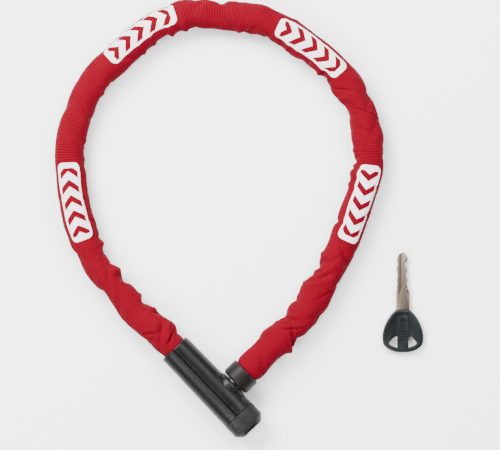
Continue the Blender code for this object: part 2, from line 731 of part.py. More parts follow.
def main():
    clear_scene()
    maker = Maker()
    cover_plastic = material("cover_plastic", (0.035, 0.035, 0.037), 0.42)
    cap_plastic = material("cap_plastic", (0.055, 0.055, 0.056), 0.55)
    collar_plastic = material("collar_plastic", (0.04, 0.037, 0.034), 0.5)
    shutter_plastic = material("shutter_plastic", (0.02, 0.02, 0.02), 0.5)
    casing_steel = material("casing_steel", (0.5, 0.5, 0.5), 0.4, 1.0)
    pin_steel = material("pin_steel", (0.6, 0.6, 0.6), 0.35, 1.0)
    housing_zinc = material("housing_zinc", (0.55, 0.55, 0.54), 0.45, 1.0)
    plug_brass = material("plug_brass", (0.75, 0.6, 0.3), 0.3, 1.0)
    latch_steel = material("latch_steel", (0.45, 0.45, 0.46), 0.4, 1.0)
    spring_steel = material("spring_steel", (0.6, 0.6, 0.62), 0.3, 1.0)
    bolt_steel = material("bolt_steel", (0.7, 0.7, 0.7), 0.2, 1.0)
    chain_steel = material("chain_steel", (0.55, 0.55, 0.56), 0.35, 1.0)
    sleeve_textile = material("sleeve_textile", (0.55, 0.02, 0.035), 0.85)
    key_nickel = material("key_nickel", (0.72, 0.7, 0.66), 0.25, 1.0)
    key_plastic = material("key_plastic", (0.012, 0.013, 0.014), 0.35)
    make_cover(maker, "cover_right", 1, cover_plastic)
    make_cover(maker, "cover_left", -1, cover_plastic)
    make_end_cap(maker, cap_plastic)
    make_keyway_cover(maker, shutter_plastic)
    make_casing(maker, casing_steel)
    make_pins(maker, pin_steel)
    make_cylinder(maker, plug_brass, housing_zinc)
    make_wafers(maker, plug_brass)
    make_cam(maker, latch_steel)
    make_latch(maker, latch_steel, spring_steel)
    make_bolt(maker, bolt_steel, pin_steel, collar_plastic)
    joints = make_chain(maker, chain_steel)
    make_sleeve(maker, joints, sleeve_textile)
    make_key(maker, key_nickel, key_plastic)


main()
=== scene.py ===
import json
import math

import bmesh
import bpy
import numpy as np
from mathutils import Matrix, Vector


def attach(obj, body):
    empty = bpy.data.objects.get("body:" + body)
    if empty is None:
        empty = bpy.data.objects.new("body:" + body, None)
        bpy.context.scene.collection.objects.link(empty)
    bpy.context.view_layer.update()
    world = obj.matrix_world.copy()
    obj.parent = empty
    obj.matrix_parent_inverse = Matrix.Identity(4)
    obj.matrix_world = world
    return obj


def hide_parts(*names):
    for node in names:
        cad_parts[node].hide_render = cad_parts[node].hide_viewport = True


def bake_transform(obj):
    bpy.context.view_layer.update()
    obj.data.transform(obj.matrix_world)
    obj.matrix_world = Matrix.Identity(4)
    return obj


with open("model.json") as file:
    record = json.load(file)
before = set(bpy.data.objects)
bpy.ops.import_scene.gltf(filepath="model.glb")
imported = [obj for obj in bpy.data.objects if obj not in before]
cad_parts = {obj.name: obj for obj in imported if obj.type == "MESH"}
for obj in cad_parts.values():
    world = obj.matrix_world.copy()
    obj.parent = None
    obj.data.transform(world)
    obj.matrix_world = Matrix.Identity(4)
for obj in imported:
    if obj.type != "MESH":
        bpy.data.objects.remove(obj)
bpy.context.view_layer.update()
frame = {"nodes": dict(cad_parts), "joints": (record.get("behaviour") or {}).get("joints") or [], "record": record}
mm = 0.001

# Where things are: the loop's middle, and the lock body's own frame at the middle of its mouth
loopCentre = Vector((-15.33, 44.14, 0)) * mm
bodyAngle = math.radians(-46)
mouthCentre = loopCentre + Vector((-37.0, -149.6, 13.0)) * mm
bodyFrame = Matrix.Translation(mouthCentre) @ Matrix.Rotation(bodyAngle, 4, "Z")

chainJoints = [Vector(j["pos_m"]) for j in frame["joints"] if j["child"].startswith("chain_")]

cameraSettings = {
    "centre": (9.0 * mm, -5.7 * mm),
    "height": 2.6,
    "coverage": 0.405,
    "planeHeight": 0.013,
}


def makeCamera(s):
    data = bpy.data.cameras.new("camera")
    data.sensor_width = 36.0
    data.lens = data.sensor_width * (s["height"] - s["planeHeight"]) / s["coverage"]
    data.clip_end = 20
    camera = bpy.data.objects.new("camera", data)
    camera.location = (*s["centre"], s["height"])
    bpy.context.scene.collection.objects.link(camera)
    bpy.context.scene.camera = camera


studio = {
    "floor": 0.9,
    "floorHalf": 3.0,
    "world": 0.32,
    "upperLeft": {"place": (-0.75, 0.95, 1.25), "target": (0, 0, 0), "size": (1.2, 0.8), "power": 120},
    "alongRight": {"place": (0.66, 0.62, 1.2), "target": (0.02, -0.08, 0), "size": (1.3, 0.75), "power": 40},
    "alongLeft": {"place": (-0.62, -0.72, 1.2), "target": (0, -0.1, 0), "size": (1.3, 0.75), "power": 42},
}


def areaLight(name, s):
    data = bpy.data.lights.new(name, "AREA")
    data.shape = "RECTANGLE"
    data.size, data.size_y = s["size"]
    data.energy = s["power"]
    light = bpy.data.objects.new(name, data)
    light.location = s["place"]
    aim = Vector(s["target"]) - Vector(s["place"])
    light.rotation_euler = aim.to_track_quat("-Z", "Y").to_euler()
    bpy.context.scene.collection.objects.link(light)


def makeStage(s):
    mesh = bpy.data.meshes.new("floor")
    half = s["floorHalf"]
    corners = [(-half, -half, 0), (half, -half, 0), (half, half, 0), (-half, half, 0)]
    mesh.from_pydata(corners, [], [(0, 1, 2, 3)])
    floor = bpy.data.objects.new("floor", mesh)
    floor.location.z = -0.0002
    bpy.context.scene.collection.objects.link(floor)
    paper = bpy.data.materials.new("floorPaper")
    paper.use_nodes = True
    shader = paper.node_tree.nodes["Principled BSDF"]
    shader.inputs["Base Color"].default_value = (s["floor"], s["floor"], s["floor"], 1)
    shader.inputs["Roughness"].default_value = 0.9
    mesh.materials.append(paper)
    world = bpy.data.worlds.new("studio")
    world.use_nodes = True
    world.node_tree.nodes["Background"].inputs["Color"].default_value = (1, 1, 1, 1)
    world.node_tree.nodes["Background"].inputs["Strength"].default_value = s["world"]
    bpy.context.scene.world = world
    for name in ("upperLeft", "alongRight", "alongLeft"):
        areaLight(name, s[name])


makeCamera(cameraSettings)
makeStage(studio)
print("stage and camera made")


# inputs and outputs are (name, kind, default) rows; kind is Float, Vector or Color
def newGroup(name, inputs, outputs):
    group = bpy.data.node_groups.new(name, "ShaderNodeTree")
    for direction, rows in (("INPUT", inputs), ("OUTPUT", outputs)):
        for label, kind, start in rows:
            kindName = "NodeSocket" + kind
            socket = group.interface.new_socket(label, in_out=direction, socket_type=kindName)
            if start is not None:
                socket.default_value = start
    group.nodes.new("NodeGroupInput").name = "in"
    group.nodes.new("NodeGroupOutput").name = "out"
    return group


# Short calls for putting nodes into a tree and joining them up
class Wiring:
    def __init__(self, tree):
        self.tree = tree

    def node(self, kind, **settings):
        made = self.tree.nodes.new("ShaderNode" + kind)
        for key, value in settings.items():
            setattr(made, key, value)
        return made

    def join(self, source, target):
        self.tree.links.new(source, target)

    def feed(self, socket, value):
        if isinstance(value, bpy.types.NodeSocket):
            self.join(value, socket)
        elif value is not None:
            socket.default_value = value

    def math(self, operation, a, b=None, c=None):
        made = self.node("Math", operation=operation)
        for socket, value in zip(made.inputs, (a, b, c)):
            self.feed(socket, value)
        return made.outputs[0]

    def remap(self, value, low, high, outLow=0.0, outHigh=1.0):
        made = self.node("MapRange", interpolation_type="SMOOTHSTEP")
        for socket, given in zip(made.inputs, (value, low, high, outLow, outHigh)):
            self.feed(socket, given)
        return made.outputs[0]

    def mix(self, factor, a, b):
        made = self.node("Mix", data_type="RGBA")
        self.feed(made.inputs[0], factor)
        self.feed(made.inputs[6], a)
        self.feed(made.inputs[7], b)
        return made.outputs[2]

    def noise(self, vector, scale, detail=3.0, roughness=0.55):
        made = self.node("TexNoise")
        self.feed(made.inputs["Vector"], vector)
        self.feed(made.inputs["Scale"], scale)
        made.inputs["Detail"].default_value = detail
        made.inputs["Roughness"].default_value = roughness
        return made.outputs["Fac"]

    def place(self, group, **values):
        made = self.node("Group", node_tree=group)
        for key, value in values.items():
            self.feed(made.inputs[key], value)
        return made.outputs


# The fine spark-eroded grain of moulded plastic, with slow patches where hands have polished it
def makeMouldedGrain():
    group = newGroup(
        "mouldedGrain",
        [("Grain size", "Float", 0.0006), ("Patch size", "Float", 0.02)],
        [("Height", "Float", None), ("Polish", "Float", None), ("Dust", "Float", None)],
    )
    w = Wiring(group)
    given = group.nodes["in"].outputs
    place = w.node("TexCoord").outputs["Object"]
    fine = w.noise(place, w.math("DIVIDE", 1.0, given["Grain size"]), 2.0, 0.6)
    cells = w.node("TexVoronoi", feature="F1")
    w.join(place, cells.inputs["Vector"])
    w.join(w.math("DIVIDE", 0.7, given["Grain size"]), cells.inputs["Scale"])
    pits = w.math("MULTIPLY", cells.outputs["Distance"], 0.4)
    height = w.math("ADD", w.math("MULTIPLY", fine, 0.6), pits)
    patch = w.noise(place, w.math("DIVIDE", 1.0, given["Patch size"]), 3.0, 0.5)
    speck = w.noise(place, 2600.0, 1.0, 0.5)
    w.join(height, group.nodes["out"].inputs["Height"])
    w.join(w.remap(patch, 0.38, 0.68), group.nodes["out"].inputs["Polish"])
    w.join(w.remap(speck, 0.66, 0.78), group.nodes["out"].inputs["Dust"])
    return group


# A mask for rubbed outer edges, broken up so that it isn't an even line
def makeEdgeWear():
    group = newGroup(
        "edgeWear",
        [("Low", "Float", 0.52), ("High", "Float", 0.62), ("Break size", "Float", 0.003)],
        [("Mask", "Float", None)],
    )
    w = Wiring(group)
    given = group.nodes["in"].outputs
    edge = w.remap(w.node("NewGeometry").outputs["Pointiness"], given["Low"], given["High"])
    place = w.node("TexCoord").outputs["Object"]
    broken = w.remap(w.noise(place, w.math("DIVIDE", 1.0, given["Break size"]), 4.0), 0.35, 0.7)
    w.join(w.math("MULTIPLY", edge, broken), group.nodes["out"].inputs["Mask"])
    return group


# Fine straight tool marks along one direction, with a few deeper scratches
def makeBrushedLines():
    group = newGroup(
        "brushedLines",
        [("Along", "Vector", (40.0, 900.0, 900.0)), ("Scratches", "Float", 0.3)],
        [("Height", "Float", None), ("Rough", "Float", None)],
    )
    w = Wiring(group)
    given = group.nodes["in"].outputs
    scaled = w.node("VectorMath", operation="MULTIPLY")
    w.join(w.node("TexCoord").outputs["Object"], scaled.inputs[0])
    w.join(given["Along"], scaled.inputs[1])
    lines = w.noise(scaled.outputs[0], 1.0, 4.0, 0.65)
    smudge = w.noise(w.node("TexCoord").outputs["Object"], 90.0, 3.0)
    scratch = w.remap(w.noise(scaled.outputs[0], 0.35, 2.0), 0.62, 0.66)
    height = w.math("SUBTRACT", lines, w.math("MULTIPLY", scratch, given["Scratches"]))
    w.join(height, group.nodes["out"].inputs["Height"])
    rough = w.math("ADD", w.math("MULTIPLY", lines, 0.4), w.math("MULTIPLY", smudge, 0.6))
    w.join(rough, group.nodes["out"].inputs["Rough"])
    return group


# Crosswise ribs and their yarns, from a UV map in metres: U runs along the sleeve and V around it
def makeRibbedCloth():
    group = newGroup(
        "ribbedCloth",
        [("UV", "Vector", (0, 0, 0)), ("Rib pitch", "Float", 0.002), ("Yarn pitch", "Float", 0.0007)],
        [(label, "Float", None) for label in ("Valley", "Yarn", "Fade", "Fibre")],
    )
    w = Wiring(group)
    given = group.nodes["in"].outputs
    parts = w.node("SeparateXYZ")
    w.join(given["UV"], parts.inputs[0])
    wobble = w.math("MULTIPLY", w.math("SUBTRACT", w.noise(given["UV"], 220.0, 2.0), 0.5), 0.0004)
    along = w.math("ADD", parts.outputs["X"], wobble)
    count = w.math("DIVIDE", along, given["Rib pitch"])
    ribs = w.math("COSINE", w.math("MULTIPLY", count, 2 * math.pi))
    # Valley is high in the rib valleys; the sleeve's material paints shade there
    w.join(w.remap(ribs, 0.2, 0.98), group.nodes["out"].inputs["Valley"])
    lean = w.math("MULTIPLY", count, 0.5)
    turn = w.math("ADD", w.math("DIVIDE", parts.outputs["Y"], given["Yarn pitch"]), lean)
    yarn = w.math("ABSOLUTE", w.math("SINE", w.math("MULTIPLY", turn, math.pi)))
    w.join(yarn, group.nodes["out"].inputs["Yarn"])
    w.join(w.remap(w.noise(given["UV"], 34.0, 4.0), 0.3, 0.75), group.nodes["out"].inputs["Fade"])
    w.join(w.noise(given["UV"], 4200.0, 2.0, 0.7), group.nodes["out"].inputs["Fibre"])
    return group


# A pale printed panel with rounded ends and chevrons left open in it, on a UV map in metres
def makePrintedPanel():
    group = newGroup(
        "printedPanel",
        [
            ("UV", "Vector", (0, 0, 0)),
            ("Centre U", "Float", 0.1),
            ("Centre V", "Float", 0.0),
            ("Half length", "Float", 0.032),
            ("Half width", "Float", 0.0082),
            ("Chevron pitch", "Float", 0.0124),
        ],
        [("Print", "Float", None)],
    )
    w = Wiring(group)
    given = group.nodes["in"].outputs
    parts = w.node("SeparateXYZ")
    w.join(given["UV"], parts.inputs[0])
    u = w.math("SUBTRACT", parts.outputs["X"], given["Centre U"])
    v = w.math("ABSOLUTE", w.math("SUBTRACT", parts.outputs["Y"], given["Centre V"]))
    corner = 0.0045
    straightU = w.math("SUBTRACT", given["Half length"], corner)
    straightV = w.math("SUBTRACT", given["Half width"], corner)
    du = w.math("MAXIMUM", w.math("SUBTRACT", w.math("ABSOLUTE", u), straightU), 0.0)
    dv = w.math("MAXIMUM", w.math("SUBTRACT", v, straightV), 0.0)
    reach = w.math("SQRT", w.math("ADD", w.math("MULTIPLY", du, du), w.math("MULTIPLY", dv, dv)))
    edge = w.math("MULTIPLY", w.math("SUBTRACT", w.noise(given["UV"], 900.0, 2.0), 0.5), 0.0004)
    panel = w.remap(w.math("ADD", reach, edge), corner - 0.0001, corner + 0.0001, 1.0, 0.0)
    slant = w.math("DIVIDE", w.math("ADD", u, v), given["Chevron pitch"])
    stripe = w.math("ABSOLUTE", w.math("SUBTRACT", w.math("FRACT", w.math("ADD", slant, 20.25)), 0.5))
    gap = w.remap(stripe, 0.215, 0.235, 1.0, 0.0)
    rimV = w.math("SUBTRACT", given["Half width"], 0.0019)
    rimU = w.math("SUBTRACT", given["Half length"], 0.0045)
    inside = w.remap(v, rimV, w.math("ADD", rimV, 0.0002), 1.0, 0.0)
    ends = w.remap(w.math("ABSOLUTE", u), rimU, w.math("ADD", rimU, 0.0002), 1.0, 0.0)
    cut = w.math("MULTIPLY", w.math("MULTIPLY", gap, inside), ends)
    w.join(w.math("MULTIPLY", panel, w.math("SUBTRACT", 1.0, cut)), group.nodes["out"].inputs["Print"])
    return group


mouldedGrain = makeMouldedGrain()
edgeWear = makeEdgeWear()
brushedLines = makeBrushedLines()
ribbedCloth = makeRibbedCloth()
printedPanel = makePrintedPanel()


def newMaterial(name):
    made = bpy.data.materials.new(name)
    made.use_nodes = True
    return made, Wiring(made.node_tree), made.node_tree.nodes["Principled BSDF"]


def plastic(name, s):
    made, w, shader = newMaterial(name)
    grain = w.place(mouldedGrain, **{"Grain size": s["grain"], "Patch size": 0.022})
    worn = w.place(edgeWear, Low=0.505, High=0.56)["Mask"]
    base = w.mix(w.math("MULTIPLY", grain["Polish"], 0.35), (*s["color"], 1), (*s["polished"], 1))
    dusty = w.mix(w.math("MULTIPLY", grain["Dust"], 0.10), base, (0.35, 0.34, 0.33, 1))
    rubbed = w.mix(w.math("MULTIPLY", worn, s["wear"]), dusty, (*s["edge"], 1))
    w.join(rubbed, shader.inputs["Base Color"])
    rough = w.math("ADD", s["rough"], w.math("MULTIPLY", grain["Polish"], -0.07))
    rough = w.math("SUBTRACT", rough, w.math("MULTIPLY", worn, 0.1))
    if "seamHalf" in s:
        # A near-black strip painted along the seam's groove: painted shade for the groove's walls, also made fully
        # rough
        across = bodyFrame.to_3x3() @ Vector((0, 1, 0))
        dot = w.node("VectorMath", operation="DOT_PRODUCT")
        w.join(w.node("TexCoord").outputs["Object"], dot.inputs[0])
        dot.inputs[1].default_value = across
        middle = across.dot(bodyFrame.translation) + s["seamAt"]
        off = w.math("ABSOLUTE", w.math("SUBTRACT", dot.outputs["Value"], middle))
        seam = w.remap(off, s["seamHalf"], s["seamHalf"] + 0.00012, 1.0, 0.0)
        paintedSeamShade = w.math("MULTIPLY", seam, 0.95)
        w.join(w.mix(paintedSeamShade, rubbed, (0.0002, 0.0002, 0.0002, 1)), shader.inputs["Base Color"])
        rough = w.math("MAXIMUM", rough, paintedSeamShade)
    w.join(rough, shader.inputs["Roughness"])
    shader.inputs["Specular IOR Level"].default_value = s["specular"]
    bump = w.node("Bump")
    bump.inputs["Strength"].default_value = s["bump"]
    bump.inputs["Distance"].default_value = 0.0001
    w.join(grain["Height"], bump.inputs["Height"])
    w.join(bump.outputs["Normal"], shader.inputs["Normal"])
    return made


def metal(name, s):
    made, w, shader = newMaterial(name)
    lines = w.place(brushedLines, Along=s["along"], Scratches=0.3)
    worn = w.place(edgeWear, Low=0.51, High=0.6)["Mask"]
    base = w.mix(w.math("MULTIPLY", lines["Rough"], 0.5), (*s["color"], 1), (*s["dark"], 1))
    w.join(w.mix(w.math("MULTIPLY", worn, 0.5), base, (*s["edge"], 1)), shader.inputs["Base Color"])
    if "grooves" in s:
        # The flat floors of the blade's grooves are coloured much darker
        parts = w.node("SeparateXYZ")
        w.join(w.node("TexCoord").outputs["Object"], parts.inputs[0])
        depth = w.math("ABSOLUTE", w.math("SUBTRACT", parts.outputs["Z"], s["grooves"][0]))
        facing = w.node("SeparateXYZ")
        w.join(w.node("NewGeometry").outputs["Normal"], facing.inputs[0])
        level = w.remap(w.math("ABSOLUTE", facing.outputs["Z"]), 0.6, 0.8)
        below = w.remap(depth, s["grooves"][1] - 0.0001, s["grooves"][1], 1.0, 0.0)
        sunk = w.math("MULTIPLY", w.math("MULTIPLY", below, level), 0.8)
        colourOutsideGrooves = shader.inputs["Base Color"].links[0].from_socket
        w.join(w.mix(sunk, colourOutsideGrooves, (0.03, 0.024, 0.018, 1)), shader.inputs["Base Color"])
    shader.inputs["Metallic"].default_value = 1.0
    rough = w.math("ADD", s["rough"], w.math("MULTIPLY", lines["Rough"], s["spread"]))
    w.join(rough, shader.inputs["Roughness"])
    bump = w.node("Bump")
    bump.inputs["Strength"].default_value = s["bump"]
    bump.inputs["Distance"].default_value = 0.00005
    w.join(lines["Height"], bump.inputs["Height"])
    w.join(bump.outputs["Normal"], shader.inputs["Normal"])
    return made


sleeveFinish = {
    "red": (0.118, 0.0, 0.0058),
    # deep: the dark red used for painted shade in the rib valleys and between the yarns
    "deep": (0.036, 0.0, 0.002),
    "worn": (0.150, 0.0008, 0.0088),
    "print": (0.74, 0.66, 0.67),
    "ribPitch": 2.0 * mm,
    "yarnPitch": 0.8 * mm,
}
# Each print's length along the sleeve and its place around it, from the top towards the outside
sleevePrints = [(160 * mm, 1.0 * mm), (315 * mm, 4.6 * mm), (462 * mm, 1.0 * mm), (605 * mm, 1.6 * mm)]


def sleeveTextile(s):
    made, w, shader = newMaterial("sleeveTextile")
    uv = w.node("UVMap", uv_map="sleeve").outputs["UV"]
    cloth = w.place(ribbedCloth, **{"UV": uv, "Rib pitch": s["ribPitch"], "Yarn pitch": s["yarnPitch"]})
    deep = (*s["deep"], 1)
    color = w.mix(w.math("MULTIPLY", cloth["Fade"], 0.30), (*s["red"], 1), (*s["worn"], 1))
    # The gaps between the yarns are painted darker: painted shade
    between = w.math("SUBTRACT", 1.0, cloth["Yarn"])
    color = w.mix(w.math("MULTIPLY", between, 0.22), color, deep)
    printed = None
    for centreU, centreV in sleevePrints:
        one = w.place(printedPanel, **{"UV": uv, "Centre U": centreU, "Centre V": centreV})["Print"]
        printed = one if printed is None else w.math("MAXIMUM", printed, one)
    thin = w.math("MULTIPLY", printed, w.remap(cloth["Fibre"], 0.30, 0.42, 0.82, 1.0))
    color = w.mix(thin, color, (*s["print"], 1))
    # The rib valleys are painted darker towards the deep red: painted shade, weaker on the prints
    strength = w.math("SUBTRACT", 0.62, w.math("MULTIPLY", printed, 0.40))
    shade = w.math("MULTIPLY", cloth["Valley"], strength)
    w.join(w.mix(shade, color, deep), shader.inputs["Base Color"])
    w.join(w.math("SUBTRACT", 0.86, w.math("MULTIPLY", printed, 0.22)), shader.inputs["Roughness"])
    shader.inputs["Sheen Weight"].default_value = 0.04
    shader.inputs["Sheen Roughness"].default_value = 0.5
    shader.inputs["Sheen Tint"].default_value = (1.0, 0.25, 0.3, 1)
    shader.inputs["Specular IOR Level"].default_value = 0.04
    bump = w.node("Bump")
    bump.inputs["Strength"].default_value = 0.7
    bump.inputs["Distance"].default_value = 0.00025
    fibre = w.math("MULTIPLY", cloth["Fibre"], 0.25)
    height = w.math("ADD", w.math("MULTIPLY", cloth["Yarn"], 0.6), fibre)
    w.join(height, bump.inputs["Height"])
    w.join(bump.outputs["Normal"], shader.inputs["Normal"])
    return made


def plasticLook(color, rough, grain=0.0006, bump=0.25, wear=0.35, specular=0.45, lift=1.25):
    return {
        "color": color,
        "polished": tuple(c * lift for c in color),
        "edge": tuple(min(1, c * 3 + 0.02) for c in color),
        "rough": rough,
        "grain": grain,
        "bump": bump,
        "wear": wear,
        "specular": specular,
    }


def metalLook(color, rough, along=(60, 900, 900), spread=0.15, bump=0.25):
    return {
        "color": color,
        "dark": tuple(c * 0.6 for c in color),
        "edge": tuple(min(1, c * 1.3) for c in color),
        "rough": rough,
        "along": along,
        "spread": spread,
        "bump": bump,
    }


finishes = {
    "cover_plastic": plastic(
        "coverPlastic",
        {
            **plasticLook((0.0016, 0.0014, 0.0015), 0.43, specular=0.125),
            # seamHalf and seamAt: half width and offset of the strip of painted shade along the seam
            "seamHalf": 0.55 * mm,
            "seamAt": -1.0 * mm,
        },
    ),
    "cap_plastic": plastic(
        "capPlastic",
        plasticLook((0.0062, 0.0058, 0.0059), 0.54, grain=0.0008, bump=0.4, specular=0.11),
    ),
    "collar_plastic": plastic(
        "collarPlastic",
        plasticLook((0.0044, 0.0036, 0.0031), 0.48, specular=0.12),
    ),
    "shutter_plastic": plastic(
        "shutterPlastic",
        plasticLook((0.002, 0.002, 0.002), 0.42, specular=0.1),
    ),
    "key_plastic": plastic(
        "keyPlastic",
        plasticLook((0.0035, 0.0048, 0.0053), 0.36, grain=0.0004, bump=0.3, specular=0.12),
    ),
    "casing_steel": metal("casingSteel", metalLook((0.48, 0.48, 0.48), 0.38)),
    "pin_steel": metal("pinSteel", metalLook((0.58, 0.58, 0.58), 0.3)),
    "housing_zinc": metal("housingZinc", metalLook((0.5, 0.5, 0.49), 0.45, along=(500, 500, 500))),
    "plug_brass": metal("plugBrass", metalLook((0.78, 0.58, 0.26), 0.28)),
    "latch_steel": metal("latchSteel", metalLook((0.42, 0.42, 0.43), 0.38)),
    "spring_steel": metal("springSteel", metalLook((0.6, 0.6, 0.62), 0.28)),
    # The bolt's steel is coloured far darker than steel: painted shade for the narrow gap between collar and body
    # where it shows
    "bolt_steel": metal("boltSteelPaintedShade", metalLook((0.16, 0.16, 0.16), 0.34)),
    "chain_steel": metal("chainSteel", metalLook((0.5, 0.5, 0.51), 0.36, along=(300, 300, 300))),
    "key_nickel": metal(
        "keyNickel",
        {
            **metalLook((0.165, 0.125, 0.098), 0.3, along=(900, 60, 900)),
            "grooves": (3.0 * mm, 1.0 * mm),
        },
    ),
    "sleeve_textile": sleeveTextile(sleeveFinish),
}
print("materials made")


def meshObject(name, mesh, slot, smooth=32):
    obj = bpy.data.objects.new(name, mesh)
    bpy.context.scene.collection.objects.link(obj)
    mesh.materials.clear()
    mesh.materials.append(finishes[slot])
    mesh.shade_smooth()
    mesh.set_sharp_from_angle(angle=math.radians(smooth))
    return obj


# A closed solid through rings of the same number of points, with a flat face at each end
def loft(name, rings):
    work = bmesh.new()
    rows = [[work.verts.new(p) for p in ring] for ring in rings]
    count = len(rows[0])
    for a, b in zip(rows, rows[1:]):
        for i in range(count):
            work.faces.new((a[i], a[(i + 1) % count], b[(i + 1) % count], b[i]))
    work.faces.new(rows[0][::-1])
    work.faces.new(rows[-1])
    bmesh.ops.recalc_face_normals(work, faces=work.faces)
    mesh = bpy.data.meshes.new(name)
    work.to_mesh(mesh)
    work.free()
    return mesh


def angles(count):
    return [2 * math.pi * i / count for i in range(count)]


# A turned solid: profile rows are (distance along, radius)
def turnedRod(name, start, along, profile, count=64):
    turn = Vector(along).to_track_quat("Z", "Y").to_matrix()
    base = Vector(start)
    rings = []
    for d, r in profile:
        circle = [Vector((math.cos(a), math.sin(a), 0)) * r for a in angles(count)]
        rings.append([base + turn @ (p + Vector((0, 0, d))) for p in circle])
    return loft(name, rings)


def block(name, low, high):
    corners = [(low[0], low[1]), (high[0], low[1]), (high[0], high[1]), (low[0], high[1])]
    return loft(name, [[Vector((x, y, z)) * mm for x, y in corners] for z in (low[2], high[2])])


# Applies an object's modifiers and keeps its name
def baked(obj):
    bpy.context.view_layer.update()
    graph = bpy.context.evaluated_depsgraph_get()
    mesh = bpy.data.meshes.new_from_object(obj.evaluated_get(graph))
    obj.modifiers.clear()
    obj.data = mesh
    return obj


def boolean(obj, cutterMesh, operation="DIFFERENCE", matrix=None):
    cutter = bpy.data.objects.new("cutter", cutterMesh)
    bpy.context.scene.collection.objects.link(cutter)
    if matrix is not None:
        cutter.matrix_world = matrix
    step = obj.modifiers.new("cut", "BOOLEAN")
    step.operation = operation
    step.object = cutter
    step.solver = "EXACT"
    baked(obj)
    bpy.data.objects.remove(cutter)


def softEdges(obj, width, segments=2, angle=28):
    step = obj.modifiers.new("edges", "BEVEL")
    step.width = width
    step.segments = segments
    step.limit_method = "ANGLE"
    step.angle_limit = math.radians(angle)
    step.use_clamp_overlap = True
    step.miter_outer = "MITER_ARC"
    baked(obj)


# Puts a finished piece in the world, in place of its CAD nodes
def finish(obj, body, nodes, slot, smooth=32, matrix=bodyFrame):
    obj.data.transform(matrix)
    obj.data.materials.clear()
    obj.data.materials.append(finishes[slot])
    obj.data.shade_smooth()
    obj.data.set_sharp_from_angle(angle=math.radians(smooth))
    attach(obj, body)
    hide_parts(*nodes)


bodyShape = {
    "half": 14.4 * mm,
    "mouthScale": 0.93,
    "power": 2.35,
    "coverLength": 74.22 * mm,
    "capStart": 74.34 * mm,
    "capEnd": 91.0 * mm,
    "chamfer": 4.6 * mm,
    "cavity": 11.9 * mm,
    "seam": -1.0,
    "seamGap": 0.03,
    "boltX": 53.9 * mm,
    "socket": 6.7 * mm,
    "seatRadius": 12.85 * mm,
    "seatFace": 15.0 * mm,
    "edge": 0.28 * mm,
}


def bodyRing(x, scale, s, count=112):
    points = []
    for a in angles(count):
        y = math.copysign(abs(math.cos(a)) ** (2 / s["power"]), math.cos(a)) * s["half"] * scale
        z = math.copysign(abs(math.sin(a)) ** (2 / s["power"]), math.sin(a)) * s["half"] * scale
        points.append(Vector((x, y, z)))
    return points


def makeCover(name, side, s):
    stations = [(0.0, -0.045), (0.25 * mm, -0.022), (0.8 * mm, -0.004), (1.4 * mm, 0)]
    stations += [(x * mm, 0) for x in range(6, 73, 6)]
    stations += [(s["coverLength"] - 0.35 * mm, 0), (s["coverLength"], -0.026)]
    rings = []
    for x, drop in stations:
        taper = s["mouthScale"] + (1 - s["mouthScale"]) * x / s["coverLength"]
        rings.append(bodyRing(x, taper + drop, s))
    cover = meshObject(name, loft(name, rings), "cover_plastic")
    if side > 0:
        rise = [(0, 1.0), (4.4, 0.995), (5.6, 0.975), (6.3, 0.945), (6.8, 0.90), (7.0, 0.85)]
        seatProfile = [(d * mm, r * s["seatRadius"]) for d, r in rise]
        seat = turnedRod("seat", (s["boltX"], 8 * mm, 0), (0, 1, 0), seatProfile, 96)
        boolean(cover, seat, "UNION")
    cavity = [(0, s["cavity"]), (s["coverLength"] + 4 * mm, s["cavity"])]
    boolean(cover, turnedRod("cavity", (-2 * mm, 0, 0), (1, 0, 0), cavity, 96))
    flare = ((0, 0.9), (1.9, 0.3), (2.8, -0.3))
    mouth = [(d * mm, s["cavity"] + r * mm) for d, r in flare]
    boolean(cover, turnedRod("mouth", (-1 * mm, 0, 0), (1, 0, 0), mouth, 96))
    half = (s["seam"] + s["seamGap"] - 40, s["seam"] + s["seamGap"])
    if side < 0:
        half = (s["seam"] - s["seamGap"], s["seam"] - s["seamGap"] + 40)
    boolean(cover, block("half", (-5, half[0], -30), (80, half[1], 30)))
    boolean(cover, block("flat", (-6, -30, -30), (81, 30, -13.0)))
    groove = []
    grooveRows = ((-6, 1.1, 12.25), (2, 0.8, 12.3), (9, 0.58, 12.3), (40, 0.5, 12.4), (75, 0.46, 12.5))
    for x, wide, floor in grooveRows:
        corners = ((-wide, 30), (-wide, floor), (wide, floor), (wide, 30))
        groove.append([Vector((x, s["seam"] + y, z)) * mm for y, z in corners])
    boolean(cover, loft("groove", groove))
    if side > 0:
        bore = [(0, s["socket"]), (20 * mm, s["socket"])]
        boolean(cover, turnedRod("bore", (s["boltX"], 4 * mm, 0), (0, 1, 0), bore, 64))
        rim = [(0, s["socket"]), (2.0 * mm, s["socket"]), (3.0 * mm, s["socket"] + 1.2 * mm)]
        boolean(cover, turnedRod("rim", (s["boltX"], s["seatFace"] - 2.7 * mm, 0), (0, 1, 0), rim, 64))
    softEdges(cover, s["edge"] * 0.7)
    return cover


